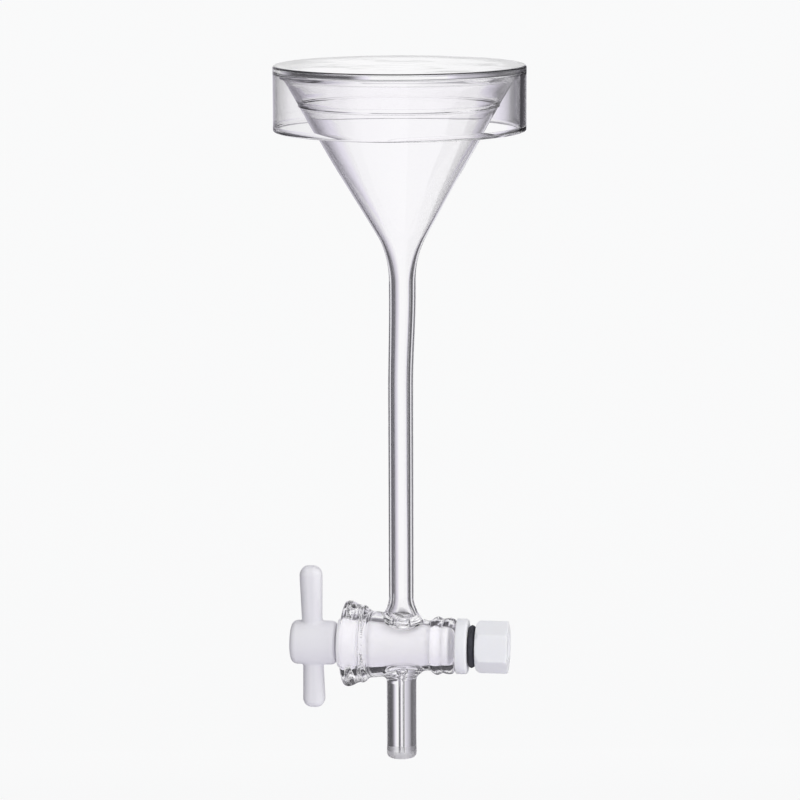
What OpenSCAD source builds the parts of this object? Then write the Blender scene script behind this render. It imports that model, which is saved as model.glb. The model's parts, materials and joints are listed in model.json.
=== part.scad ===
// Glass filling funnel with a loose lid and a PTFE stopcock.
// Origin: centre of the outlet tube's lower end. +Z runs up the stem, +X along the
// stopcock towards its nut, so the handle is on the -X side. All sizes are millimetres.

/* [Lid] */
// Outside diameter of the lid
lid_d = 105; // [104.4:0.1:110]
// Height of the lid, from the edge of its skirt to its top
lid_h = 27.2; // [12:0.1:40]
// Wall thickness of the lid's skirt
lid_wall = 1.6; // [1.4:0.1:2.2]
// Thickness of the lid's disc
lid_top = 2.4; // [1.5:0.1:4]
// Rounding of the lid's outer top edge
lid_edge_r = 1.2; // [0.4:0.1:1.4]

/* [Bowl] */
// Diameter that the outer cone would have at the rim plane
cone_d = 99; // [97:0.1:99.2]
// Outside diameter of the ground rim
rim_d = 98.6; // [98:0.1:99]
// Height of the thickened rim
rim_h = 2.7; // [1.5:0.1:5]
// Full angle of the cone
cone_angle = 60; // [50:1:75]
// Wall thickness of the bowl
bowl_wall = 1.1; // [1:0.1:2.6]
// Distance of the tooling ring below the rim
ring_drop = 14.2; // [8:0.1:30]
// Height of the tooling ring above the cone
ring_h = 0.4; // [0.1:0.05:0.8]
// Radius of the outer blend between cone and stem
neck_r = 38; // [15:1:45]

/* [Stem] */
// Height of the rim plane above the outlet's end
rim_z = 293.5; // [250:0.5:340]
// Outside diameter of the stem
stem_d = 10.6; // [9:0.1:12]
// Bore of the stem
stem_bore = 6.3; // [4:0.1:7]
// Widest radius of the stem's foot, where it is fused to the barrel
stem_foot_r = 9; // [7:0.1:9.5]

/* [Outlet] */
// Outside diameter of the outlet tube
outlet_d = 12.7; // [10:0.1:14]
// Bore of the outlet tube
outlet_bore = 1.8; // [1.4:0.1:3.8]
// Widest radius of the outlet tube's head, where it is fused to the barrel
outlet_head_r = 8.6; // [7:0.1:9.5]
// Rounding of the outlet's end
outlet_edge_r = 0.6; // [0.2:0.1:1.2]

/* [Stopcock] */
// Height of the stopcock's axis above the outlet's end
axis_z = 49.3; // [40:0.1:60]
// Radius of the tapered bore in the barrel, on the stem's axis
taper_r = 9.2; // [8.8:0.05:9.3]
// Fall of the taper's radius per millimetre towards the nut
taper_rate = 0.05; // [0.04:0.005:0.06]
// Radial clearance of the key in the barrel
key_gap = 0.05; // [0.02:0.01:0.1]
// Diameter of the passage across the key
key_port = 4; // [2:0.1:4.6]
// Radius of the key's collar
collar_r = 10.4; // [10.3:0.1:10.8]

/* [Handle] */
// Radius of the handle's hub
hub_r = 9.5; // [8:0.1:12]
// Length of the hub along the stopcock's axis
hub_len = 20; // [16:0.1:24]
// Reach of the long arm above the axis
arm_up = 33.5; // [25:0.1:40]
// Reach of the short arm below the axis
arm_down = 28.3; // [20:0.1:40]
// Width of an arm at the hub
arm_w = 8.7; // [6:0.1:10]
// Width of an arm near its end
arm_end_w = 9.5; // [6:0.1:11]

/* [Nut and seals] */
// Radius of the washer
washer_r = 11.8; // [10:0.1:13]
// Thickness of the washer
washer_t = 5; // [2:0.1:6]
// Outside radius of the O-ring
oring_r = 9.1; // [8:0.1:10]
// Thickness of the O-ring
oring_t = 3.1; // [2.5:0.1:3.6]
// Width of the nut across its flats
nut_flats = 19.6; // [19.5:0.1:20]
// Radius to which the nut's corners are turned down
nut_r = 11.2; // [11:0.1:11.2]
// Length of the nut
nut_len = 13.9; // [10:0.1:16]
// Turn of the nut's corners from the horizontal
nut_turn = 20; // [0:1:59]
// Radius of the key's threaded tail
tail_r = 5.3; // [4.6:0.05:5.4]
// Pitch of the tail's thread
thread_pitch = 1.5; // [1:0.25:2]

/* [Hidden] */
$fn = 96;
eps = 0.01;

glass = [0.86, 0.90, 0.93, 0.45];
ptfe = [0.93, 0.93, 0.95];
handle_white = [0.84, 0.83, 0.87];
rubber = [0.10, 0.10, 0.13];

// Lid
lid_r = lid_d / 2;
lid_in_r = lid_r - lid_wall;
lid_gap = 0.2;
lid_under_z = rim_z + lid_gap;
lid_top_z = lid_under_z + lid_top;
lid_low_z = lid_top_z - lid_h;
skirt_edge_r = lid_wall / 2 - eps;

// Bowl
half = cone_angle / 2;
wall_x = bowl_wall / cos(half);
stem_r = stem_d / 2;
bore_r = stem_bore / 2;
neck_in_r = neck_r + 5;
rim_edge = 0.5;
ring_foot = 0.6;
ring_crest = 0.15;

// Height at which a cone whose radius at the rim plane is r_rim has radius r
function cone_z(r_rim, r) = rim_z - (r_rim - r) / tan(half);
// Radius of a blend arc's end on the cone, for an arc of radius b on a tube of radius r
function blend_r(r, b) = r + b * (1 - cos(half));
// Points of an arc about (cr, cz)
function arc(cr, cz, r, a0, a1, n) =
  [for (i = [0:n]) let (a = a0 + (a1 - a0) * i / n) [cr + r * cos(a), cz + r * sin(a)]];

out_z = cone_z(cone_d / 2, blend_r(stem_r, neck_r)) - neck_r * sin(half);
in_z = cone_z(cone_d / 2 - wall_x, blend_r(bore_r, neck_in_r)) - neck_in_r * sin(half);
neck_z = min(out_z, in_z) - 1;

// Barrel, along X from the stem's axis
face_x = -25.3;
flange_x = -22.4;
flange_r = 18.1;
flange_edge_r = 15.6;
bead_x = -16;
bead_r = 16.2;
waist_x = -13.2;
waist_r = 14.4;
body_x = 12;
body_r = 10.8;
end_bead_x = 15.5;
end_bead_r = 12.4;
end_dip_x = 18.1;
end_dip_r = 11.7;
end_x = 23.6;
end_r = 11.4;
counter_r = collar_r + 0.3;
counter_x = -17;
foot_rise = 6;
head_drop = 5;

// Key
collar_x = -19.6;
groove_x = -18.6;
groove_r = 9.6;
seat_x = -17.4;
neck_end_x = face_x - 1.8;
spigot_len = 9;
spigot_w = 8;
tail_x = 20.6;
tail_end_x = 45;
groove_d = 0.45;
thread_n = 14;

// Handle
hub_end_x = neck_end_x - 0.6;
hub_x = hub_end_x - hub_len;
arm_x = hub_x + hub_len * 0.47;
hub_edge_r = 2;
arm_edge_r = 2.3;

// Washer, O-ring and nut
seal_gap = 0.15;
washer_x = end_x + seal_gap;
washer_edge = 0.8;
ring_x = washer_x + washer_t;
nut_x = ring_x + oring_t + seal_gap;
slip_r = tail_r + 0.15;
nut_chamfer = 1.5;
nut_edge = 0.5;

// Radius of the barrel's tapered bore at x
function taper(x) = taper_r - taper_rate * x;

// Turns a profile of [x, r] points about the stopcock's axis
module about_x(points) {
  translate([0, 0, axis_z]) rotate([0, 90, 0])
    rotate_extrude() polygon([for (p = points) [p[1], p[0]]]);
}

// Cylinder along the stopcock's axis from x0 to x1
module x_rod(r, x0, x1) {
  translate([x0, 0, axis_z]) rotate([0, 90, 0]) cylinder(r = r, h = x1 - x0);
}

module lid() {
  color(glass) rotate_extrude() polygon(concat(
    [[0, lid_under_z], [lid_in_r - lid_edge_r, lid_under_z]],
    arc(lid_in_r - lid_edge_r, lid_under_z - lid_edge_r, lid_edge_r, 90, 0, 4),
    arc(lid_in_r + skirt_edge_r, lid_low_z + skirt_edge_r, skirt_edge_r, 180, 360, 10),
    arc(lid_r - lid_edge_r, lid_top_z - lid_edge_r, lid_edge_r, 0, 90, 5),
    [[0, lid_top_z]]
  ));
}

module funnel_bowl() {
  rim_r = rim_d / 2;
  rim_in_r = cone_d / 2 - wall_x;
  rim_low_z = rim_z - rim_h;
  ring_z = rim_z - ring_drop;
  ring_r = cone_d / 2 - ring_drop * tan(half);
  color(glass) rotate_extrude() polygon(concat(
    [[bore_r, neck_z], [stem_r, neck_z]],
    arc(stem_r + neck_r, out_z, neck_r, 180, 180 - half, 10),
    [
      [ring_r - ring_foot * tan(half), ring_z - ring_foot],
      [ring_r - ring_crest * tan(half) + ring_h, ring_z - ring_crest],
      [ring_r + ring_crest * tan(half) + ring_h, ring_z + ring_crest],
      [ring_r + ring_foot * tan(half), ring_z + ring_foot],
      [cone_d / 2 - rim_h * tan(half), rim_low_z],
      [rim_r, rim_low_z + rim_edge],
      [rim_r, rim_z - rim_edge],
      [rim_r - rim_edge, rim_z],
      [rim_in_r, rim_z]
    ],
    arc(bore_r + neck_in_r, in_z, neck_in_r, 180 - half, 180, 10)
  ));
}

// Outer form of the barrel, without its bore
module barrel_form() {
  about_x([
    [face_x, 0],
    [face_x, flange_edge_r - 1.2],
    [face_x + 0.6, flange_edge_r + 1],
    [flange_x - 1.4, flange_r - 0.6],
    [flange_x, flange_r],
    [flange_x + 2, flange_r - 0.5],
    [bead_x - 1.8, bead_r - 0.1],
    [bead_x, bead_r],
    [bead_x + 1.2, bead_r - 0.9],
    [waist_x, waist_r],
    [body_x, body_r],
    [end_bead_x - 1.6, end_bead_r - 0.8],
    [end_bead_x, end_bead_r],
    [end_dip_x, end_dip_r],
    [end_dip_x + 2.5, end_dip_r + 0.2],
    [end_x - 0.8, end_r],
    [end_x, end_r - 0.9],
    [end_x, 0]
  ]);
}

module stopcock_barrel() {
  color(glass) difference() {
    barrel_form();
    about_x([
      [face_x - 1, 0],
      [face_x - 1, counter_r],
      [counter_x, counter_r],
      [counter_x, taper(counter_x)],
      [end_x + 1, taper(end_x + 1)],
      [end_x + 1, 0]
    ]);
    translate([0, 0, axis_z]) cylinder(r = bore_r, h = flange_r + 1);
    translate([0, 0, axis_z - flange_r - 1]) cylinder(r = bore_r, h = flange_r + 1);
  }
}

module stem_tube() {
  barrel_top = waist_r - (waist_r - body_r) / (body_x - waist_x) * -waist_x;
  foot_z = axis_z + barrel_top + foot_rise;
  foot_w = stem_foot_r - stem_r;
  color(glass) difference() {
    rotate_extrude() polygon(concat(
      [[bore_r, axis_z], [stem_foot_r, axis_z]],
      [for (i = [0:8]) let (a = 90 * i / 8)
        [stem_foot_r - foot_w * sin(a), foot_z - foot_rise * cos(a)]],
      [[stem_r, neck_z], [bore_r, neck_z]]
    ));
    barrel_form();
  }
}

module outlet_tube() {
  tube_r = outlet_d / 2;
  hole_r = outlet_bore / 2;
  barrel_low = waist_r - (waist_r - body_r) / (body_x - waist_x) * -waist_x;
  head_z = axis_z - barrel_low - head_drop;
  head_w = outlet_head_r - tube_r;
  color(glass) difference() {
    rotate_extrude() polygon(concat(
      [[hole_r, axis_z], [outlet_head_r, axis_z]],
      [for (i = [0:8]) let (a = 90 * i / 8)
        [outlet_head_r - head_w * sin(a), head_z + head_drop * cos(a)]],
      arc(tube_r - outlet_edge_r, outlet_edge_r, outlet_edge_r, 0, -90, 4),
      [[hole_r + outlet_edge_r, 0], [hole_r, outlet_edge_r]]
    ));
    barrel_form();
  }
}

module stopcock_key() {
  thread = [for (i = [0:thread_n - 1]) let (x = tail_x + 1.7 + i * thread_pitch) each [
    [x, tail_r],
    [x + thread_pitch / 2, tail_r - groove_d],
    [x + thread_pitch, tail_r]
  ]];
  color(ptfe) difference() {
    union() {
      about_x(concat(
        [
          [neck_end_x, 0],
          [neck_end_x, collar_r - 0.4],
          [neck_end_x + 0.4, collar_r],
          [collar_x - 0.5, collar_r],
          [collar_x, collar_r - 0.5],
          [groove_x, groove_r],
          [seat_x, taper(seat_x) - key_gap],
          [tail_x - 0.5, taper(tail_x - 0.5) - key_gap],
          [tail_x, tail_r]
        ],
        thread,
        [[tail_end_x - 0.5, tail_r], [tail_end_x, tail_r - 0.5], [tail_end_x, 0]]
      ));
      translate([neck_end_x - spigot_len / 2 + eps, 0, axis_z])
        cube([spigot_len, spigot_w, spigot_w], center = true);
    }
    translate([0, 0, axis_z - flange_r]) cylinder(d = key_port, h = 2 * flange_r);
  }
}

// One arm of the handle: a rounded bar that widens towards its end
module arm(reach) {
  end_s = arm_end_w / 2 - arm_edge_r;
  hub_s = arm_w / 2 - arm_edge_r;
  hull() for (sx = [-1, 1], sy = [-1, 1]) {
    translate([sx * hub_s, sy * hub_s, 0]) cylinder(r = arm_edge_r, h = 1, $fn = 32);
    translate([sx * end_s, sy * end_s, reach - arm_edge_r]) sphere(r = arm_edge_r, $fn = 32);
  }
}

module handle() {
  spigot_gap = 0.02;
  color(handle_white) difference() {
    union() {
      about_x(concat(
        [[hub_x, 0]],
        [for (p = arc(hub_r - hub_edge_r, hub_edge_r, hub_edge_r, -90, 0, 5)) [hub_x + p[1], p[0]]],
        [for (p = arc(hub_r - 1, -1, 1, 0, 90, 4)) [hub_end_x + p[1], p[0]]],
        [[hub_end_x, 0]]
      ));
      translate([arm_x, 0, axis_z]) arm(arm_up);
      translate([arm_x, 0, axis_z]) rotate([180, 0, 0]) arm(arm_down);
    }
    translate([neck_end_x - spigot_len / 2, 0, axis_z])
      cube([spigot_len + spigot_gap, spigot_w, spigot_w], center = true);
  }
}

module washer() {
  color(ptfe) difference() {
    about_x([
      [washer_x, 0],
      [washer_x, washer_r - washer_edge / 2],
      [washer_x + washer_edge / 2, washer_r],
      [ring_x - washer_edge, washer_r],
      [ring_x - washer_edge / 4, washer_r - washer_edge / 2],
      [ring_x, washer_r - washer_edge],
      [ring_x, 0]
    ]);
    x_rod(slip_r, washer_x - 1, ring_x + 1);
  }
}

module o_ring() {
  cord_r = oring_t / 2;
  color(rubber) translate([ring_x + cord_r, 0, axis_z]) rotate([0, 90, 0])
    rotate_extrude() translate([oring_r - cord_r, 0]) circle(r = cord_r, $fn = 32);
}

module nut() {
  color(ptfe) difference() {
    intersection() {
      translate([nut_x, 0, axis_z]) rotate([0, 90, 0]) rotate([0, 0, nut_turn - 90])
        cylinder(r = nut_flats / sqrt(3), h = nut_len, $fn = 6);
      about_x([
        [nut_x, 0],
        [nut_x, nut_r - nut_chamfer],
        [nut_x + nut_chamfer, nut_r],
        [nut_x + nut_len - nut_edge, nut_r],
        [nut_x + nut_len, nut_r - nut_edge],
        [nut_x + nut_len, 0]
      ]);
    }
    x_rod(slip_r, nut_x - 1, nut_x + nut_len + 1);
  }
}

lid();
funnel_bowl();
stem_tube();
stopcock_barrel();
outlet_tube();
stopcock_key();
handle();
washer();
o_ring();
nut();
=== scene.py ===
"""Separatory funnel: one fused piece of glass (bowl, stem, stopcock barrel and outlet), a loose
lid, and the stopcock's PTFE key, handle, washer, O-ring and nut. The round pieces are turned
profiles; the fused and moulded pieces are surfaces of distance fields, in millimetres."""
import json
import math

import bmesh
import bpy
import numpy as np
from mathutils import Matrix, Vector

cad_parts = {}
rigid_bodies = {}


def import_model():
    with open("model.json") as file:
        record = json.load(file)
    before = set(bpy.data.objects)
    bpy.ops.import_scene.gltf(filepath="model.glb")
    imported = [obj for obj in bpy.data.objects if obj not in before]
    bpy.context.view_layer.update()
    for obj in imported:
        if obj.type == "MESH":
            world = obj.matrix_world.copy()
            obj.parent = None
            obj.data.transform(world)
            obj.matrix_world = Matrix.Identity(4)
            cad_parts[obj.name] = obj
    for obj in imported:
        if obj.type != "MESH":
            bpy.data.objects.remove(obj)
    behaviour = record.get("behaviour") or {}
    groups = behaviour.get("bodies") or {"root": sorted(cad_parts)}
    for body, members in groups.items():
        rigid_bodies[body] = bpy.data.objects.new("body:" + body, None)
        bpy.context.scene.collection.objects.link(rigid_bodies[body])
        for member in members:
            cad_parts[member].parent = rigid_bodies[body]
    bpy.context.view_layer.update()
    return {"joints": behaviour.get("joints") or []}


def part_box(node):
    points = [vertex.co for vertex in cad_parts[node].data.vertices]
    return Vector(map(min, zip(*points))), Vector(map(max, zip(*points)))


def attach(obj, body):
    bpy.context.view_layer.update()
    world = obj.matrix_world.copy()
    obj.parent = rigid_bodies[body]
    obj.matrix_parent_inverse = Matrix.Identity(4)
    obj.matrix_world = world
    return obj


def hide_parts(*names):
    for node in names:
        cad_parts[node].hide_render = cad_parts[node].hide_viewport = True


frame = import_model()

MM = 0.001


# ---------------------------------------------------------------- sizes, in millimetres
def node_box(node):
    """Lowest and highest corner of a CAD node, in millimetres."""
    low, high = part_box(node)
    return [v / MM for v in low], [v / MM for v in high]


def joint_height(name):
    """Height of a hinge's axis, in millimetres."""
    return next(j["pos_m"][2] for j in frame["joints"] if j["name"] == name) / MM


AXIS_Z = joint_height("plug_turn")
RIM_Z = node_box("funnel_bowl")[1][2]
LID_LOW, LID_HIGH = node_box("lid")
FACE_X, END_X = node_box("stopcock_barrel")[0][0], node_box("stopcock_barrel")[1][0]
HANDLE_LOW, HANDLE_HIGH = node_box("handle")
SPIGOT_LEN = 9.0
NECK_X, KEY_END_X = node_box("stopcock_key")[0][0] + SPIGOT_LEN, node_box("stopcock_key")[1][0]
WASHER_LOW, WASHER_HIGH = node_box("washer")
RING_LOW, RING_HIGH = node_box("o_ring")
NUT_LOW, NUT_HIGH = node_box("nut")

STEM_R, STEM_BORE_R = 5.3, 3.15
OUTLET_R, OUTLET_BORE_R = 6.35, 0.9
CONE_HALF = math.radians(30)
CONE_R, BOWL_WALL = 49.5, 1.1
RIM_R, RIM_H = 49.3, 2.7
NECK_R = 38.0
RING_DROP, RING_H = 14.2, 0.4
SKIRT_WALL, LID_DISC, LID_UNEVEN = 1.6, 2.4, 0.8
TAPER_R, TAPER_RATE, KEY_GAP = 9.2, 0.05, 0.05
COLLAR_R, COLLAR_X, COUNTER_R, COUNTER_X = 10.4, -19.6, 10.7, -17.0
PORT_R, TAIL_X, TAIL_R, THREAD_PITCH, SLIP_R = 2.0, 20.6, 5.3, 1.5, 5.45
BELL_R, BELL_LOW, BELL_TALL = 3.2, 12.0, 8.5
THROAT_R, THROAT_LOW, THROAT_TALL = 2.7, 10.0, 2.6
SPIGOT_HALF, SOCKET_HALF = 3.95, 4.0
HUB_R, ARM_UP, ARM_DOWN, ARM_HALF, ARM_EDGE = 9.5, 33.5, 28.3, 4.3, 3.9
NUT_FLAT_R, NUT_R, NUT_TURN = 9.8, 11.2, math.radians(20)
NUT_INNER_CHAMFER, NUT_OUTER_CHAMFER = 1.5, 0.5
JOIN_Z = 78.0
NECK_SHIFT, NECK_SPAN = 0.85, (160, 200, 222, 258)
BOWL_SWELL, SWELL_SPAN = 0.35, (165, 205, 262, 284)


# ---------------------------------------------------------------- distance fields
def smooth_min(a, b, k):
    """The lower of two distances, rounded over a width k."""
    h = np.maximum(k - np.abs(a - b), 0) / k
    return np.minimum(a, b) - h * h * k / 4


def smooth_max(a, b, k):
    """The higher of two distances, rounded over a width k."""
    return -smooth_min(-a, -b, k)


def rounded_profile(points, rounds=3):
    """Cuts the corners of a profile of (place, radius) points until it is smooth."""
    p = np.array(points, float)
    for _ in range(rounds):
        q = np.empty((2 * len(p) - 2, 2))
        q[0::2] = 0.75 * p[:-1] + 0.25 * p[1:]
        q[1::2] = 0.25 * p[:-1] + 0.75 * p[1:]
        p = np.vstack([p[:1], q, p[-1:]])
    return p


def along(profile, x):
    """Radius of a profile at x."""
    return np.interp(x, profile[:, 0], profile[:, 1])


def slab(x, low, high):
    """Distance outside the space between two planes."""
    return np.maximum(low - x, x - high)


def waves(p, size, seed):
    """A soft wobble between about -1 and 1, the same each run."""
    rng = np.random.default_rng(seed)
    total = np.zeros(p.shape[:-1])
    for _ in range(6):
        direction = rng.normal(size=3)
        direction /= np.linalg.norm(direction)
        total += np.sin(p @ direction * (2 * math.pi / size) * rng.uniform(0.7, 1.4)
                        + rng.uniform(0, 2 * math.pi))
    return total / 3


def slope(field, p, h=0.02):
    """Gradient of a field at points p."""
    g = np.empty_like(p)
    for axis in range(3):
        d = np.zeros(3)
        d[axis] = h
        g[:, axis] = (field(p + d) - field(p - d)) / (2 * h)
    return g


def normals_of(field, p):
    """Unit vectors along the gradient of a field at points p."""
    g = slope(field, p)
    return g / np.maximum(np.linalg.norm(g, axis=1), 1e-9)[:, None]


def settle(field, verts, reach, rounds=3):
    """Moves points onto a field's surface, each by at most reach."""
    for _ in range(rounds):
        g = slope(field, verts)
        move = field(verts)[:, None] * g / np.maximum((g * g).sum(1), 0.05)[:, None]
        length = np.linalg.norm(move, axis=1)[:, None]
        verts = verts - move * np.minimum(1, reach / np.maximum(length, 1e-9))
    return verts


def relax(verts, faces, amount):
    """Moves each point part of the way to the middle of its neighbours."""
    total, count = np.zeros_like(verts), np.zeros(len(verts))
    for k in range(4):
        a, b = faces[:, k], faces[:, (k + 1) % 4]
        np.add.at(total, a, verts[b])
        np.add.at(total, b, verts[a])
        np.add.at(count, a, 1)
        np.add.at(count, b, 1)
    return verts + amount * (total / np.maximum(count, 1)[:, None] - verts)


def surface_of(field, low, high, step):
    """Quads along the surface where a field is zero: one point for each grid cell it crosses."""
    axes = [l + step * np.arange(int(math.ceil((h - l) / step)) + 1) for l, h in zip(low, high)]
    grid = np.stack(np.meshgrid(*axes, indexing="ij"), -1)
    value = field(grid)
    inside = value < 0
    cells = tuple(n - 1 for n in value.shape)
    total, hits = np.zeros(cells + (3,)), np.zeros(cells)
    quads = []
    for axis in range(3):
        low_end = [slice(None)] * 3
        high_end = [slice(None)] * 3
        low_end[axis], high_end[axis] = slice(0, -1), slice(1, None)
        a, b = value[tuple(low_end)], value[tuple(high_end)]
        crosses = inside[tuple(low_end)] != inside[tuple(high_end)]
        part = np.where(crosses, a / np.where(crosses, a - b, 1), 0)
        points = grid[tuple(low_end)].copy()
        points[..., axis] += part * step
        points *= crosses[..., None]
        others = [k for k in range(3) if k != axis]
        for i in (0, 1):
            for j in (0, 1):
                pick = [slice(None)] * 3
                pick[others[0]] = slice(i, i + cells[others[0]])
                pick[others[1]] = slice(j, j + cells[others[1]])
                total += points[tuple(pick)]
                hits += crosses[tuple(pick)]
        quads.append((axis, others, np.argwhere(crosses), inside[tuple(low_end)]))
    used = hits > 0
    index = np.full(cells, -1)
    index[used] = np.arange(used.sum())
    verts = total[used] / hits[used][:, None]
    faces = []
    for axis, others, where, starts_inside in quads:
        keep = np.ones(len(where), bool)
        for k in others:
            keep &= (where[:, k] > 0) & (where[:, k] < cells[k])
        where = where[keep]
        corners = []
        for i, j in ((1, 1), (0, 1), (0, 0), (1, 0)):
            cell = where.copy()
            cell[:, others[0]] -= i
            cell[:, others[1]] -= j
            corners.append(index[tuple(cell.T)])
        face = np.stack(corners, 1)
        flip = starts_inside[tuple(where.T)] == (axis == 1)
        face[flip] = face[flip][:, ::-1]
        faces.append(face)
    faces = np.vstack(faces)
    verts = settle(field, verts, step)
    for _ in range(2):
        verts = settle(field, relax(verts, faces, 0.5), step, 2)
    return verts, faces


# ---------------------------------------------------------------- meshes
def piece(name, verts, faces, body, nodes, slot, material, normals=None):
    """A finished piece from points in millimetres, riding on a body in place of CAD nodes."""
    mesh = bpy.data.meshes.new(name)
    mesh.from_pydata((np.asarray(verts) * MM).tolist(), [], [list(map(int, f)) for f in faces])
    mesh.validate()
    mesh.polygons.foreach_set("use_smooth", [True] * len(mesh.polygons))
    if normals is not None and len(normals) == len(mesh.vertices):
        mesh.normals_split_custom_set_from_vertices(normals.tolist())
    obj = bpy.data.objects.new(name, mesh)
    bpy.context.scene.collection.objects.link(obj)
    obj.data.materials.append(material)
    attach(obj, body)
    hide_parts(*nodes)
    return obj


def field_piece(name, field, low, high, step, *rest):
    """A piece whose surface is where a field is zero."""
    verts, faces = surface_of(field, low, high, step)
    normals = normals_of(field, verts)
    verts[:, 2] += AXIS_Z
    return piece(name, verts, faces, *rest, normals=normals)


def arc(centre, radius, start, end, count):
    """Points of an arc, from start to end in degrees."""
    angles = np.radians(np.linspace(start, end, count + 1))
    return [(centre[0] + radius * math.cos(a), centre[1] + radius * math.sin(a)) for a in angles]


def spaced(points, gap):
    """Adds points along straight stretches so that none is longer than gap."""
    out = [points[0]]
    for a, b in zip(points[:-1], points[1:]):
        n = max(1, math.ceil(math.dist(a, b) / gap))
        out += [(a[0] + (b[0] - a[0]) * i / n, a[1] + (b[1] - a[1]) * i / n)
                for i in range(1, n + 1)]
    return out


def turned(profile, sides, closed=True):
    """Points and quads of a profile of (radius, height) turned about the Z axis."""
    angles = 2 * math.pi * np.arange(sides) / sides
    verts, rings = [], []
    for r, z in profile:
        if r < 1e-6:
            rings.append([len(verts)] * sides)
            verts.append((0, 0, z))
        else:
            rings.append(list(range(len(verts), len(verts) + sides)))
            verts += [(r * math.cos(a), r * math.sin(a), z) for a in angles]
    if closed:
        rings.append(rings[0])
    faces = []
    for low, high in zip(rings[:-1], rings[1:]):
        for i in range(sides):
            j = (i + 1) % sides
            face = [low[i], low[j], high[j], high[i]]
            face = [v for n, v in enumerate(face) if v != face[n - 1]]
            if len(face) > 2:
                faces.append(face)
    return np.array(verts, float), faces


def about_x(verts):
    """Turns points made about Z so that they lie about the stopcock's axis."""
    return np.stack([verts[:, 2], -verts[:, 1], verts[:, 0] + AXIS_Z], 1)


# ---------------------------------------------------------------- node helpers
class Graph:
    """A material's node tree, with short ways to add and join nodes."""

    def __init__(self, name):
        self.material = bpy.data.materials.new(name)
        self.material.use_nodes = True
        self.nodes = self.material.node_tree.nodes
        self.links = self.material.node_tree.links
        self.nodes.clear()
        self.out = self.add("ShaderNodeOutputMaterial")
        self.shader = self.add("ShaderNodeBsdfPrincipled")
        self.link(self.shader, "BSDF", self.out, "Surface")
        self.place = self.add("ShaderNodeTexCoord")

    def add(self, kind, **values):
        """A node, with its properties or its inputs set."""
        node = self.nodes.new(kind)
        for key, value in values.items():
            if hasattr(node, key):
                setattr(node, key, value)
            else:
                node.inputs[key.replace("_", " ")].default_value = value
        return node

    def link(self, a, out, b, into):
        """Joins an output of node a to an input of node b."""
        self.links.new(a.outputs[out], b.inputs[into])

    def set(self, **values):
        """Sets inputs of the shader itself."""
        for key, value in values.items():
            self.shader.inputs[key.replace("_", " ")].default_value = value

    def noise(self, scale, detail=3.0, roughness=0.5, stretch=(1, 1, 1)):
        """Noise over the piece's own coordinates, in metres."""
        mapping = self.add("ShaderNodeMapping")
        mapping.inputs["Scale"].default_value = stretch
        self.link(self.place, "Object", mapping, "Vector")
        node = self.add("ShaderNodeTexNoise", Scale=scale, Detail=detail, Roughness=roughness)
        self.link(mapping, "Vector", node, "Vector")
        return node

    def spread(self, source, out, low, high, from_low=0.3, from_high=0.7):
        """Maps a value's middle range to low..high."""
        node = self.add("ShaderNodeMapRange", clamp=True)
        for key, value in (("From Min", from_low), ("From Max", from_high),
                           ("To Min", low), ("To Max", high)):
            node.inputs[key].default_value = value
        self.link(source, out, node, "Value")
        return node

    def tones(self, source, out, stops):
        """Colours along a value."""
        ramp = self.add("ShaderNodeValToRGB")
        ramp.color_ramp.elements[0].position, ramp.color_ramp.elements[0].color = stops[0]
        ramp.color_ramp.elements[1].position, ramp.color_ramp.elements[1].color = stops[-1]
        for position, colour in stops[1:-1]:
            ramp.color_ramp.elements.new(position).color = colour
        self.link(source, out, ramp, "Fac")
        return ramp

    def bump(self, source, out, strength, distance, under=None):
        """Bump from a height in units of distance, on top of another bump."""
        node = self.add("ShaderNodeBump", Strength=strength, Distance=distance)
        self.link(source, out, node, "Height")
        if under is not None:
            self.link(under, "Normal", node, "Normal")
        return node


def grey(v, tint=(1, 1, 1)):
    """A tone with a tint, as a colour."""
    return (v * tint[0], v * tint[1], v * tint[2], 1)


# ---------------------------------------------------------------- materials
GROUND_ROUGHNESS = 0.5


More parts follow.
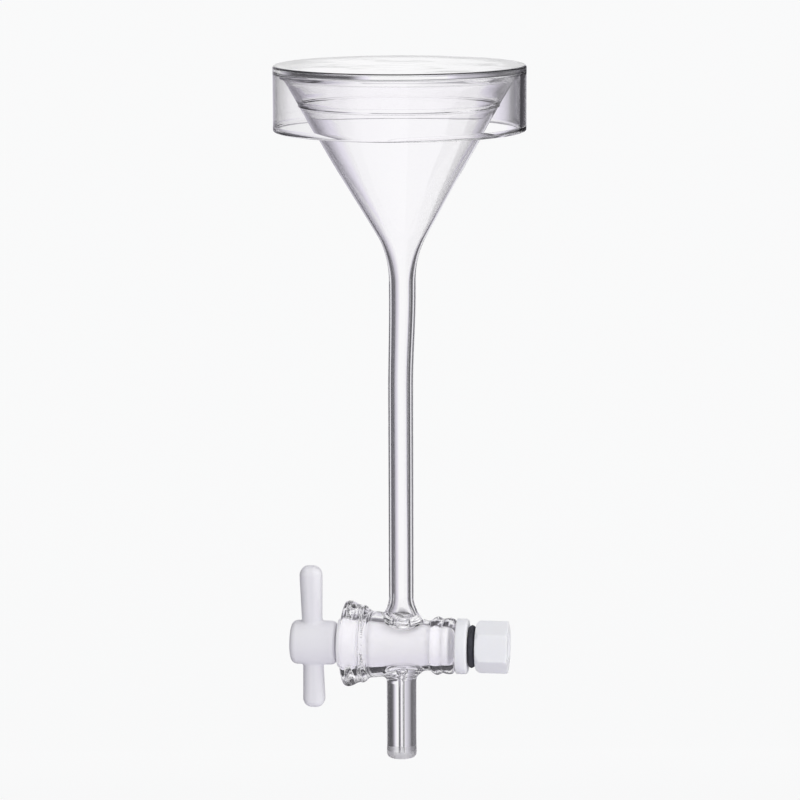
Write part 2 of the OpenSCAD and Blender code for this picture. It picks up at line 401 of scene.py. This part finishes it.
def glass(name, ground=None):
    """Clear glass with faint smudges, and painted shade: its colour darkens where it is seen edge
    on, less where the face lies level, to draw its dark edges.
    It may have a ground end: two heights in mm, matt below the first and clear above the second."""
    g = Graph(name)
    g.set(Transmission_Weight=1.0, IOR=1.474, Metallic=0.0)
    smudge = g.noise(55, 4, 0.6)
    tint = g.tones(smudge, "Fac", [(0.35, (0.999, 0.996, 1.0, 1)),
                                   (0.65, (0.995, 0.99, 0.998, 1))])
    # Painted shade: the base colour darkens towards grazing view to draw the dark edges of the
    # glass; faces that lie level get only 0.12 of it.
    edge = g.add("ShaderNodeLayerWeight", Blend=0.5)
    painted_edge_shade = g.tones(edge, "Facing", [(0.0, (1, 1, 1, 1)), (0.7, (0.99, 0.985, 0.995, 1)),
                                    (0.9, (0.93, 0.92, 0.95, 1)), (1.0, (0.7, 0.69, 0.74, 1))])
    facing = g.add("ShaderNodeSeparateXYZ")
    g.link(g.place, "Normal", facing, "Vector")
    flatness = g.add("ShaderNodeMath", operation="ABSOLUTE")
    g.link(facing, "Z", flatness, 0)
    painted_shade_amount = g.spread(flatness, 0, 1.0, 0.12, 0.75, 0.95)
    mix = g.add("ShaderNodeMix", data_type="RGBA", blend_type="MULTIPLY")
    g.link(painted_shade_amount, "Result", mix, "Factor")
    g.link(tint, "Color", mix, "A")
    g.link(painted_edge_shade, "Color", mix, "B")
    g.link(mix, "Result", g.shader, "Base Color")
    rough = g.spread(smudge, "Fac", 0.0, 0.02, 0.45, 0.75)
    if ground:
        matt, clear = ground
        height = g.add("ShaderNodeSeparateXYZ")
        g.link(g.place, "Object", height, "Vector")
        end = g.spread(height, "Z", 0.0, GROUND_ROUGHNESS, clear * MM, matt * MM)
        rougher = g.add("ShaderNodeMath", operation="MAXIMUM")
        g.link(rough, "Result", rougher, 0)
        g.link(end, "Result", rougher, 1)
        rough = rougher
    g.link(rough, 0, g.shader, "Roughness")
    ripple = g.noise(38, 2, 0.5, (1, 1, 0.35))
    bump = g.bump(ripple, "Fac", 0.12, 0.0006)
    g.link(bump, "Normal", g.shader, "Normal")
    return g.material


def ptfe(name, value, tint, turned_lines):
    """Waxy white fluoropolymer, with fine turning marks along X."""
    g = Graph(name)
    cloud = g.noise(90, 4, 0.55)
    tone = g.tones(cloud, "Fac", [(0.3, grey(value * 0.97, tint)), (0.7, grey(value, tint))])
    g.link(tone, "Color", g.shader, "Base Color")
    g.set(IOR=1.35, Subsurface_Weight=0.35, Subsurface_Radius=(0.002, 0.002, 0.0022))
    g.set(Subsurface_Scale=1.0)
    rough = g.spread(cloud, "Fac", 0.34, 0.48)
    g.link(rough, "Result", g.shader, "Roughness")
    grain = g.noise(1400, 2, 0.5)
    bump = g.bump(grain, "Fac", 0.12, 0.00008)
    if turned_lines:
        lines = g.add("ShaderNodeTexWave", Scale=turned_lines, Distortion=0.6, Detail=1.0,
                      bands_direction="X", wave_profile="SIN")
        g.link(g.place, "Object", lines, "Vector")
        bump = g.bump(lines, "Fac", 0.10, 0.00005, bump)
    g.link(bump, "Normal", g.shader, "Normal")
    return g.material


def moulded(name):
    """Moulded white plastic of the handle, slightly lilac, with a fine satin grain."""
    g = Graph(name)
    cloud = g.noise(60, 3, 0.5)
    tint = (0.985, 0.975, 1.02)
    tone = g.tones(cloud, "Fac", [(0.3, grey(0.84, tint)), (0.7, grey(0.87, tint))])
    g.link(tone, "Color", g.shader, "Base Color")
    g.set(IOR=1.46, Subsurface_Weight=0.2, Subsurface_Radius=(0.0015, 0.0015, 0.0016))
    g.set(Subsurface_Scale=1.0)
    rough = g.spread(cloud, "Fac", 0.38, 0.5)
    g.link(rough, "Result", g.shader, "Roughness")
    grain = g.noise(2200, 2, 0.6)
    g.link(g.bump(grain, "Fac", 0.18, 0.00006), "Normal", g.shader, "Normal")
    return g.material


def rubber():
    """Black rubber, a little dusty."""
    g = Graph("black_rubber")
    dust = g.noise(300, 5, 0.65)
    tone = g.tones(dust, "Fac", [(0.35, (0.016, 0.016, 0.024, 1)),
                                 (0.75, (0.05, 0.05, 0.065, 1))])
    g.link(tone, "Color", g.shader, "Base Color")
    rough = g.spread(dust, "Fac", 0.5, 0.75)
    g.link(rough, "Result", g.shader, "Roughness")
    g.link(g.bump(g.noise(1800, 3, 0.6), "Fac", 0.2, 0.00008), "Normal", g.shader, "Normal")
    return g.material


# ---------------------------------------------------------------- the glass
def blend_end(radius, bend):
    """Radius where a blend of a given bend leaves a tube and meets the cone."""
    return radius + bend * (1 - math.cos(CONE_HALF))


def blend_start(cone_r, radius, bend):
    """Height where that blend starts on the tube."""
    on_cone = RIM_Z - (cone_r - blend_end(radius, bend)) / math.tan(CONE_HALF)
    return on_cone - bend * math.sin(CONE_HALF)


def bowl_profile():
    """Outside of the stem and bowl from the join upwards, over the rim, and down the inside."""
    lean = math.tan(CONE_HALF)
    inner_cone = CONE_R - BOWL_WALL / math.cos(CONE_HALF)
    inner_bend = NECK_R + 5
    ring_z, ring_r = RIM_Z - RING_DROP, CONE_R - RING_DROP * lean
    under_rim = (CONE_R - RIM_H * lean, RIM_Z - RIM_H)
    outer = spaced([(STEM_R, JOIN_Z + 0.8), (STEM_R, JOIN_Z + 4)], 0.8)
    outer += spaced([(STEM_R, JOIN_Z + 4), (STEM_R, blend_start(CONE_R, STEM_R, NECK_R))], 4)[1:]
    outer += arc((STEM_R + NECK_R, blend_start(CONE_R, STEM_R, NECK_R)), NECK_R, 180, 150, 14)[1:]
    ridge = [(-0.6, 0), (-0.45, 0.15), (-0.15, 0.92), (0, 1), (0.15, 0.92), (0.45, 0.15), (0.6, 0)]
    outer += spaced([outer[-1], (ring_r - 1.6 * lean, ring_z - 1.6)], 2.5)[1:]
    outer += [(ring_r + d * lean + h * RING_H, ring_z + d) for d, h in ridge]
    outer += spaced([outer[-1], (under_rim[0] - 0.15, under_rim[1] - 0.25)], 2.5)[1:]
    outer += [(under_rim[0] + 0.1, under_rim[1]), (under_rim[0] + 0.5, under_rim[1] + 0.12)]
    outer += arc((RIM_R - 0.5, under_rim[1] + 0.6), 0.5, -90, 0, 4)
    outer += arc((RIM_R - 0.35, RIM_Z - 0.35), 0.35, 0, 90, 4)
    inner = arc((inner_cone + 0.35, RIM_Z - 0.3), 0.3, 90, 150, 3)
    start = blend_start(inner_cone, STEM_BORE_R, inner_bend)
    down = arc((STEM_BORE_R + inner_bend, start), inner_bend, 150, 180, 14)
    inner += spaced([inner[-1], down[0]], 2.5)[1:] + down[1:]
    inner += spaced([down[-1], (STEM_BORE_R, JOIN_Z + 4)], 4)[1:]
    inner += spaced([(STEM_BORE_R, JOIN_Z + 4), (STEM_BORE_R, JOIN_Z + 0.8)], 0.8)[1:]
    return outer + inner


BARREL = rounded_profile([
    (-30, 14.0), (FACE_X, 14.6), (-24.6, 17.0), (-23.4, 18.3), (-21.0, 18.2), (-18.8, 17.0),
    (-17.2, 16.3), (-15.8, 16.7), (-14.4, 15.7), (-13.2, 14.3), (-11, 14.3), (0, 12.6),
    (10, 11.0), (12.6, 10.6), (13.9, 11.9), (15.3, 12.6), (16.7, 12.4), (18.0, 11.5),
    (19.4, 11.9), (21.2, 12.1), (22.6, 11.6), (END_X, 11.2), (30, 11.0)])


def taper(x):
    """Radius of the barrel's tapered bore."""
    return TAPER_R - TAPER_RATE * x


def bell(z):
    """How far the stem's foot widens at a height above the stopcock's axis."""
    return BELL_R * np.clip(1 - (z - BELL_LOW) / BELL_TALL, 0, 1) ** 1.8


def glass_outside(p):
    """Outer surface of barrel, stem foot and outlet, fused together."""
    x, y, z = p[..., 0], p[..., 1], p[..., 2]
    rho = np.hypot(y, z)
    wobble = waves(p, 17, 3) * 0.08 + waves(p, 8, 5) * 0.02
    barrel = (rho - along(BARREL, x) - wobble) * 0.8
    barrel = smooth_max(barrel, slab(x, FACE_X, END_X), 1.6)
    tube = np.hypot(x, y)
    stem = smooth_max(tube - STEM_R - bell(z), 6 - z, 2)
    out_r = OUTLET_R - 0.35 * np.clip((-z - AXIS_Z + 2.2) / 2.2, 0, 1) ** 2
    head = 2.0 * np.clip(1 - (-z - 12.0) / 4.5, 0, 1) ** 2.5
    outlet = smooth_max(np.maximum(tube - out_r - head, z + 6), -AXIS_Z - z, 1.3)
    fused = smooth_min(barrel, stem, 1.2)
    return smooth_min(fused, outlet, 2.0)


def glass_inside(p):
    """The hollows: tapered bore with its counterbore, and the passages above and below. The upper
    one widens with the stem's foot, then narrows to a throat just above the key."""
    x, y, z = p[..., 0], p[..., 1], p[..., 2]
    rho, tube = np.hypot(y, z), np.hypot(x, y)
    bore = rho - taper(x)
    counter = smooth_max(rho - COUNTER_R, x - COUNTER_X, 0.5)
    bore = smooth_min(bore, counter, 0.5)
    above = np.clip((z - THROAT_LOW) / THROAT_TALL, 0, 1) ** 1.5
    top_r = THROAT_R + (STEM_BORE_R + 0.8 * bell(z) - THROAT_R) * above
    top_r = top_r + waves(p, 9, 8) * 0.12 * np.exp(-((z - 11) / 5) ** 2)
    up = np.maximum(tube - top_r, -z)
    low_r = np.interp(-z, [0, 10.5, 12.5, 60], [2.3, 2.0, OUTLET_BORE_R, OUTLET_BORE_R])
    mouth = 0.3 * np.clip((-z - AXIS_Z + 1.0) / 1.0, 0, 3) ** 2
    down = np.maximum(tube - low_r - mouth, z)
    return smooth_min(smooth_min(bore, up, 0.8), down, 0.8)


def glass_field(p):
    """Distance to the glass itself."""
    return smooth_max(glass_outside(p), -glass_inside(p), 0.5)


def open_points(faces):
    """Points on the open edges of a mesh of quads."""
    edges = np.sort(np.vstack([faces[:, [k, (k + 1) % 4]] for k in range(4)]), axis=1)
    once, count = np.unique(edges, axis=0, return_counts=True)
    return np.unique(once[count == 1])


def zip_rings(verts, ring, other):
    """Triangles between two rings round the Z axis with different numbers of points."""
    def turn(i):
        return math.atan2(verts[i][1], verts[i][0]) % (2 * math.pi)

    ring, other = sorted(ring, key=turn), sorted(other, key=turn)
    faces, i, j = [], 0, 0
    while i < len(ring) or j < len(other):
        next_i = turn(ring[i]) if i < len(ring) else math.inf
        next_j = turn(other[j]) if j < len(other) else math.inf
        if next_i <= next_j:
            faces.append([ring[i], ring[(i + 1) % len(ring)], other[j % len(other)]])
            i += 1
        else:
            faces.append([ring[i % len(ring)], other[(j + 1) % len(other)], other[j]])
            j += 1
    return faces


def hill(z, start, top, end, foot):
    """1 between top and end, 0 outside start and foot, with soft slopes between them."""
    rise = np.clip((z - start) / (top - start), 0, 1)
    fall = np.clip((foot - z) / (foot - end), 0, 1)
    return rise ** 2 * (3 - 2 * rise) * fall ** 2 * (3 - 2 * fall)


def make_glass(material):
    """The fused piece: turned bowl and stem above the join, a field's surface below it."""
    step = 0.5
    low, high = (-27, -20, -AXIS_Z - 1.5), (26, 20, JOIN_Z - AXIS_Z)
    verts, faces = surface_of(glass_field, low, high, step)
    normals = normals_of(glass_field, verts)
    verts[:, 2] += AXIS_Z
    at_top = open_points(faces)
    radius = np.hypot(verts[at_top, 0], verts[at_top, 1])
    split = (STEM_R + STEM_BORE_R) / 2
    sides = 160
    profile = bowl_profile()
    round_verts, round_faces = turned(profile, sides, closed=False)
    swell = BOWL_SWELL * hill(round_verts[:, 2], *SWELL_SPAN)
    swell /= np.hypot(round_verts[:, 0], round_verts[:, 1])
    round_verts[:, :2] *= 1 + swell[:, None]
    round_verts[:, 0] += NECK_SHIFT * hill(round_verts[:, 2], *NECK_SPAN)
    start = len(verts)
    last = start + (len(profile) - 1) * sides
    everything = np.vstack([verts, round_verts])
    quads = [list(f) for f in faces] + [[start + v for v in f] for f in round_faces]
    quads += zip_rings(everything, at_top[radius > split], range(start, start + sides))
    quads += zip_rings(everything, at_top[radius < split], range(last, last + sides))
    mesh = bpy.data.meshes.new("fused")
    mesh.from_pydata(everything.tolist(), [], [list(map(int, f)) for f in quads])
    bm = bmesh.new()
    bm.from_mesh(mesh)
    bmesh.ops.recalc_face_normals(bm, faces=bm.faces)
    if bm.calc_volume(signed=True) < 0:
        bmesh.ops.reverse_faces(bm, faces=bm.faces)
    open_edges = sum(not e.is_manifold for e in bm.edges)
    print("glass body:", len(bm.faces), "faces,", open_edges, "open edges")
    bm.normal_update()
    own = np.array([v.normal[:] for v in bm.verts])
    own[:start] = normals
    quads = [[v.index for v in f.verts] for f in bm.faces]
    bm.free()
    bpy.data.meshes.remove(mesh)
    return piece("glass_body", everything, quads, "glassware",
                 ["funnel_bowl", "stem_tube", "stopcock_barrel", "outlet_tube"],
                 "clear_glass", material, own)


def make_lid(material):
    """Flat lid with a skirt: rounded shoulder outside and in, and a fire-polished edge. Its inside
    stands a little to one side, so the skirt is thicker on the right than on the left."""
    outer_r, inner_r = LID_HIGH[0], LID_HIGH[0] - SKIRT_WALL
    top, under, low = LID_HIGH[2], LID_HIGH[2] - LID_DISC, LID_LOW[2]
    edge = SKIRT_WALL / 2
    shoulder, corner = 1.1, 1.2
    profile = [(0, top)] + spaced([(0.5, top), (outer_r - shoulder - 0.05, top)], 3)
    profile += arc((outer_r - shoulder, top - shoulder), shoulder, 90, 0, 8)
    profile += spaced([profile[-1], (outer_r, low + edge)], 2)[1:]
    profile += arc((outer_r - edge, low + edge), edge, 0, -180, 12)[1:]
    profile += spaced([profile[-1], (inner_r, under - corner)], 2)[1:]
    profile += arc((inner_r - corner, under - corner), corner, 0, 90, 8)[1:]
    profile += spaced([profile[-1], (0.5, under)], 3)[1:] + [(0, under)]
    profile.reverse()
    verts, faces = turned(profile, 192, closed=False)
    inside = np.hypot(verts[:, 0], verts[:, 1]) < inner_r + 0.01
    below_top = np.clip((top - 0.5 - verts[:, 2]) / 1.5, 0, 1)
    verts[:, 0] -= LID_UNEVEN * inside * below_top
    return piece("lid_glass", verts, faces, "lid_body", ["lid"], "clear_glass", material)


# ---------------------------------------------------------------- the stopcock
def key_field(p):
    """Key: collar, tapered plug with its passage, threaded tail and square spigot."""
    x, y, z = p[..., 0], p[..., 1], p[..., 2]
    rho = np.hypot(y, z)
    turn = np.arctan2(z, y) / (2 * math.pi)
    collar = smooth_max(rho - COLLAR_R, slab(x, NECK_X, COLLAR_X), 0.9)
    groove = np.interp(x, [COLLAR_X, COLLAR_X + 1, COLLAR_X + 2.2], [0.5, 0.5, 0.0])
    plug = smooth_max(rho - taper(x) + KEY_GAP + groove, slab(x, COLLAR_X - 2, TAIL_X), 0.7)
    depth = 0.22 * (1 - np.cos(2 * math.pi * (x / THREAD_PITCH - turn)))
    depth = depth * np.clip((x - TAIL_X - 1.5) / 1.2, 0, 1)
    tail = smooth_max((rho - TAIL_R + depth) * 0.75, slab(x, TAIL_X - 2, KEY_END_X), 0.7)
    square = smooth_max(np.maximum(np.abs(y), np.abs(z)) - SPIGOT_HALF,
                        slab(x, NECK_X - SPIGOT_LEN, NECK_X + 1), 0.5)
    body = smooth_min(smooth_min(collar, plug, 0.5), np.minimum(tail, square), 0.3)
    return smooth_max(body, PORT_R - np.hypot(x, y), 0.4)


def rounded_bar(a, b, c, half_a, half_b, low, high, edge):
    """Distance to a box with rounded edges; the sides may vary along c."""
    qa, qb = np.abs(a) - half_a + edge, np.abs(b) - half_b + edge
    qc = np.abs(c - (low + high) / 2) - (high - low) / 2 + edge
    outside = np.sqrt(np.maximum(qa, 0) ** 2 + np.maximum(qb, 0) ** 2 + np.maximum(qc, 0) ** 2)
    return outside + np.minimum(np.maximum(np.maximum(qa, qb), qc), 0) - edge


def handle_field(p):
    """Handle: round hub with a domed end, and a bar whose two arms widen outwards."""
    x, y, z = p[..., 0], p[..., 1], p[..., 2]
    rho = np.hypot(y, z)
    low, high = HANDLE_LOW[0], HANDLE_HIGH[0]
    dome = 0.7 * (rho / HUB_R) ** 2
    hub_r = HUB_R - 0.25 * ((x - (low + high) / 2) / 10) ** 2
    ends = smooth_max(low + dome - x, x - high, 0.5)
    hub = smooth_max(rho - hub_r, ends, 2.6)
    widen = 0.45 * np.clip((np.abs(z) - HUB_R) / 18, 0, 1)
    middle = low + 9.5 + 0.018 * -z
    half = ARM_HALF + widen
    arms = rounded_bar(x - middle, y, z, half, half, -ARM_DOWN, ARM_UP, ARM_EDGE)
    whole = smooth_min(hub, arms, 1.0)
    socket = np.maximum(np.maximum(np.abs(y), np.abs(z)) - SOCKET_HALF,
                        NECK_X - SPIGOT_LEN - 0.3 - x)
    return smooth_max(whole, -socket, 0.3)


def nut_field(p):
    """Nut: six flats with rounded corners, chamfered ends and a clear bore."""
    x, y, z = p[..., 0], p[..., 1], p[..., 2]
    rho = np.hypot(y, z)
    low, high = NUT_LOW[0], NUT_HIGH[0]
    hexagon = None
    for k in range(3):
        a = NUT_TURN + math.radians(30 + 60 * k)
        face = np.abs(-y * math.cos(a) - z * math.sin(a)) - NUT_FLAT_R
        hexagon = face if hexagon is None else smooth_max(hexagon, face, 0.25)
    ends = slab(x, low, high)
    diagonal = 0.7071
    inner = (low - x + rho - (NUT_R - NUT_INNER_CHAMFER)) * diagonal
    outer = (x - high + rho - (NUT_R - NUT_OUTER_CHAMFER)) * diagonal
    sides = smooth_max(hexagon, rho - NUT_R, 0.1)
    body = smooth_max(smooth_max(sides, smooth_max(inner, outer, 0.3), 0.4), ends, 0.4)
    return smooth_max(body, SLIP_R - rho, 0.6)


def make_washer(material):
    """Washer: a small edge towards the barrel, a rounder one outwards, and a chamfered bore."""
    low, high, r = WASHER_LOW[0], WASHER_HIGH[0], WASHER_HIGH[1]
    edge, outer_edge, chamfer = 0.45, 1.1, 0.3
    profile = arc((r - edge, low + edge), edge, -90, 0, 4)
    profile += arc((r - outer_edge, high - outer_edge), outer_edge, 0, 90, 7)
    profile += spaced([profile[-1], (SLIP_R + chamfer, high)], 1.5)[1:]
    profile += [(SLIP_R, high - chamfer)]
    profile += spaced([(SLIP_R, high - chamfer), (SLIP_R, low + chamfer)], 1.0)[1:]
    profile += spaced([(SLIP_R + chamfer, low), (r - edge, low)], 1.5)[:-1]
    verts, faces = turned(profile, 96)
    verts = about_x(verts)
    faces = [f[::-1] for f in faces]
    return piece("washer_ptfe", verts, faces, "seal_body", ["washer"], "ptfe", material)


def make_ring(material):
    """O-ring, a little flattened where it is squeezed, with its mould line outside."""
    low, high, r = RING_LOW[0], RING_HIGH[0], RING_HIGH[1]
    half, sides = (high - low) / 2, 40
    profile = []
    for i in range(sides):
        a = 2 * math.pi * i / sides
        line = 0.06 if i == 0 else 0.0
        squeeze = 1 + 0.05 * math.cos(2 * a)
        profile.append((r - half * 1.06 + (half * squeeze + line) * math.cos(a),
                        (low + high) / 2 + half * min(1, squeeze + 0.05) * math.sin(a)))
    verts, faces = turned(profile, 96)
    return piece("o_ring_rubber", about_x(verts), faces, "seal_body", ["o_ring"],
                 "black_rubber", material)


# ---------------------------------------------------------------- studio
def plain(name, colour, strength, diffuse):
    """A stage surface that gives an even light of its own, mixed with a plain matt surface."""
    mat = bpy.data.materials.new(name)
    mat.use_nodes = True
    nodes, links = mat.node_tree.nodes, mat.node_tree.links
    nodes.clear()
    out = nodes.new("ShaderNodeOutputMaterial")
    light = nodes.new("ShaderNodeEmission")
    light.inputs["Color"].default_value = colour
    light.inputs["Strength"].default_value = strength
    matt = nodes.new("ShaderNodeBsdfDiffuse")
    matt.inputs["Color"].default_value = colour
    mix = nodes.new("ShaderNodeMixShader")
    mix.inputs["Fac"].default_value = diffuse
    links.new(light.outputs[0], mix.inputs[1])
    links.new(matt.outputs[0], mix.inputs[2])
    links.new(mix.outputs[0], out.inputs["Surface"])
    return mat


WHITE = (0.953, 0.955, 0.957, 1)
TARGET = Vector((0, 0, 0.155))
CAMERA_TURN, CAMERA_TILT, CAMERA_ROLL = math.radians(7), math.radians(10.41), math.radians(-0.2)
CAMERA_REACH, SENSOR, LENS, IMAGE = 1.3235, 36.0, 141.6, 800
FLOOR_Z, STAGE_MIDDLE, FLAG_REACH = -0.6, 0.15, 1.1
LAMP_PLACE, LAMP_SIZE, LAMP_WATTS = (0.8, -0.95, 1.25), 2.4, 4.9


def make_floor():
    """A wide pale disc, well below the funnel, which hangs in the air as from a clamp."""
    bm = bmesh.new()
    bmesh.ops.create_circle(bm, cap_ends=True, segments=96, radius=40)
    mesh = bpy.data.meshes.new("floor")
    bm.to_mesh(mesh)
    bm.free()
    floor = bpy.data.objects.new("floor", mesh)
    floor.location.z = FLOOR_Z
    bpy.context.scene.collection.objects.link(floor)
    mesh.materials.append(plain("pale_floor", WHITE, 1.0, 0.05))


def toward(turn, rise, reach):
    """A point seen from the funnel at an angle to the right of straight behind and above level."""
    a = CAMERA_TURN - math.radians(turn)
    level = reach * math.cos(math.radians(rise))
    return Vector((-level * math.sin(a), level * math.cos(a),
                   reach * math.sin(math.radians(rise)) + STAGE_MIDDLE))


def on_rig(obj):
    """Cards and lamp stand on one rig with the camera, as when the object is on a turntable."""
    camera = bpy.context.scene.camera
    obj.parent = camera
    obj.matrix_parent_inverse = camera.matrix_world.inverted()


def make_flag(name, edges, stops):
    """A card beside the white background that draws the edges of the glass. The camera does not
    see it. It runs from the first edge to the last, and the stops give its tone on the way."""
    mesh = bpy.data.meshes.new(name)
    last, rows = len(edges) - 1, len(edges[0])
    mesh.from_pydata([p[:] for edge in edges for p in edge], [],
                     [(i * rows + j, i * rows + j + 1, (i + 1) * rows + j + 1, (i + 1) * rows + j)
                      for i in range(last) for j in range(rows - 1)])
    across = mesh.uv_layers.new(name="across")
    for n, corner in enumerate(across.data):
        corner.uv = ((n // (4 * (rows - 1)) + (n % 4 > 1)) / last, 0.5)
    flag = bpy.data.objects.new(name, mesh)
    bpy.context.scene.collection.objects.link(flag)
    mat = bpy.data.materials.new(name)
    mat.use_nodes = True
    nodes, links = mat.node_tree.nodes, mat.node_tree.links
    nodes.clear()
    out = nodes.new("ShaderNodeOutputMaterial")
    light = nodes.new("ShaderNodeEmission")
    place = nodes.new("ShaderNodeTexCoord")
    split = nodes.new("ShaderNodeSeparateXYZ")
    ramp = nodes.new("ShaderNodeValToRGB").color_ramp

    def tone(v):
        return (v, v * 0.97, v * 1.08, 1) if v < 0.9 else WHITE

    start, size = stops[0][0], stops[-1][0] - stops[0][0]
    ramp.elements[0].position, ramp.elements[0].color = 0, tone(stops[0][1])
    ramp.elements[1].position, ramp.elements[1].color = 1, tone(stops[-1][1])
    for stop, v in stops[1:-1]:
        ramp.elements.new((stop - start) / size).color = tone(v)
    links.new(place.outputs["UV"], split.inputs["Vector"])
    links.new(split.outputs["X"], nodes["Color Ramp"].inputs["Fac"])
    links.new(nodes["Color Ramp"].outputs["Color"], light.inputs["Color"])
    links.new(light.outputs[0], out.inputs["Surface"])
    mesh.materials.append(mat)
    flag.visible_camera = False
    on_rig(flag)


def make_flags():
    """Curved upright cards left and right of the white background, in a low row for stem and
    stopcock and a high row for bowl and lid; a slanting card above and two level ones below. The
    upright cards' stops are in degrees from straight behind, the others' run from 0 to 1."""
    low, bowl, high = FLOOR_Z + 0.01, 0.06, 1.2

    def upright(stops, *levels):
        """Columns of points; each level has a height and how far the card moves to the right."""
        edges = []
        for turn in np.linspace(stops[0][0], stops[-1][0], 17):
            column = []
            for z, shift in levels:
                point = toward(turn + shift, 0, FLAG_REACH)
                point.z = z
                column.append(point)
            edges.append(column)
        return edges

    def level(reach, height, left, right):
        """A level edge behind the funnel, from so far on its left to so far on its right."""
        ends = [toward(0, 0, reach) + toward(turn, 0, half)
                for turn, half in ((-90, left), (90, right))]
        for end in ends:
            end.z = height
        return ends

    left = [(-4, 1), (-10, 0.68), (-18, 0.50), (-24, 0.32), (-30, 0.08), (-38, 0.07),
            (-46, 0.13), (-60, 0.16), (-80, 0.12), (-120, 0.20), (-140, 1)]
    right = [(21, 1), (27, 0.72), (31, 0.35), (36, 0.12), (42, 0.06), (68, 0.06), (76, 0.35),
             (84, 1)]
    left_bowl = [(-3.5, 1), (-4.5, 0.88), (-5.8, 0.74), (-7.2, 0.6), (-8.5, 0.52), (-15.5, 0.40),
                 (-20, 0.26), (-26, 0.12), (-38, 0.1), (-80, 0.12), (-120, 0.20), (-140, 1)]
    right_bowl = [(7, 1), (8.5, 0.86), (9.8, 0.7), (11, 0.5), (12.5, 0.2), (14, 0.08), (40, 0.06),
                  (50, 0.5), (58, 1)]
    make_flag("flag_left", upright(left, (low, 0), (bowl, 0)), left)
    make_flag("flag_right", upright(right, (low, -9), (-0.25, -9), (-0.22, -2), (-0.16, -3),
                                    (-0.1, -7), (bowl, -8)), right)
    make_flag("flag_left_bowl",
              upright(left_bowl, (bowl, 0), (0.155, 0), (0.175, -9), (high, -9)), left_bowl)
    make_flag("flag_right_bowl", upright(right_bowl, (bowl, 0), (high, 0)), right_bowl)
    make_flag("flag_above", [level(2.0, 0.82, 1.3, 1.3), level(0.8, 1.6, 1.3, 1.3)],
              [(0, 1), (0.22, 0.45), (0.42, 0.2), (1, 0.2)])
    make_flag("flag_below", [level(2.0, low, 1.3, 0.5), level(0.15, low, 1.3, 0.5)],
              [(0, 1), (0.22, 0.3), (0.42, 0.035), (1, 0.035)])
    make_flag("flag_under", [[Vector((x, y, low)) for y in (-1.2, 0.15)] for x in (-1.8, 1.2)],
              [(0, 0.45), (0.4, 0.6), (0.65, 0.85), (1, 1)])


def make_lamp():
    """A soft box in front, above and to the right."""
    data = bpy.data.lights.new("softbox", "AREA")
    data.shape, data.size, data.energy = "DISK", LAMP_SIZE, LAMP_WATTS
    lamp = bpy.data.objects.new("softbox", data)
    bpy.context.scene.collection.objects.link(lamp)
    lamp.location = LAMP_PLACE
    lamp.visible_glossy = False
    lamp.rotation_euler = (TARGET - lamp.location).to_track_quat("-Z", "Y").to_euler()
    on_rig(lamp)


def make_world():
    """An even pale background, which is also most of the light."""
    world = bpy.data.worlds.new("studio")
    bpy.context.scene.world = world
    world.use_nodes = True
    back = world.node_tree.nodes["Background"]
    back.inputs["Color"].default_value = WHITE
    back.inputs["Strength"].default_value = 1.0


def make_camera():
    """The camera at the photograph's angle, a little above and to the right."""
    data = bpy.data.cameras.new("camera")
    cam = bpy.data.objects.new("camera", data)
    bpy.context.scene.collection.objects.link(cam)
    data.sensor_width, data.lens = SENSOR, LENS
    back = Vector((math.sin(CAMERA_TURN) * math.cos(CAMERA_TILT),
                   -math.cos(CAMERA_TURN) * math.cos(CAMERA_TILT), math.sin(CAMERA_TILT)))
    cam.location = TARGET + back * CAMERA_REACH
    roll = Matrix.Rotation(CAMERA_ROLL, 4, "Z")
    look = (-back).to_track_quat("-Z", "Y").to_matrix().to_4x4()
    cam.matrix_world = Matrix.Translation(cam.location) @ look @ roll
    data.shift_x, data.shift_y = -0.6 / IMAGE, 0.9 / IMAGE
    data.clip_start, data.clip_end = 0.01, 100
    bpy.context.scene.camera = cam
    bpy.context.view_layer.update()


# ---------------------------------------------------------------- assembly
make_camera()
make_world()
make_floor()
make_flags()
make_lamp()

fine = 0.35
make_glass(glass("fused_glass", ground=(3.2, 3.7)))
make_lid(glass("lid_glass"))
field_piece("key_ptfe", key_field,
            (NECK_X - SPIGOT_LEN - 1, -12, -12), (KEY_END_X + 1, 12, 12), fine,
            "key_body", ["stopcock_key"], "ptfe", ptfe("key_ptfe", 0.92, (1, 0.99, 1.02), 900))
field_piece("handle_moulded", handle_field, (HANDLE_LOW[0] - 1, -11, -ARM_DOWN - 1),
            (HANDLE_HIGH[0] + 1, 11, ARM_UP + 1), fine,
            "key_body", ["handle"], "handle_plastic", moulded("handle_plastic"))
white = ptfe("seal_ptfe", 0.92, (0.98, 0.985, 1.02), 0)
make_washer(white)
make_ring(rubber())
field_piece("nut_ptfe", nut_field, (NUT_LOW[0] - 1, -13, -13), (NUT_HIGH[0] + 1, 13, 13), fine,
            "nut_body", ["nut"], "ptfe", white)

scene = bpy.context.scene
scene.view_settings.view_transform = "Standard"
scene.cycles.blur_glossy = 0.0
scene.cycles.max_bounces = 40
scene.cycles.transmission_bounces = 36
scene.cycles.glossy_bounces = 12
scene.cycles.transparent_max_bounces = 16
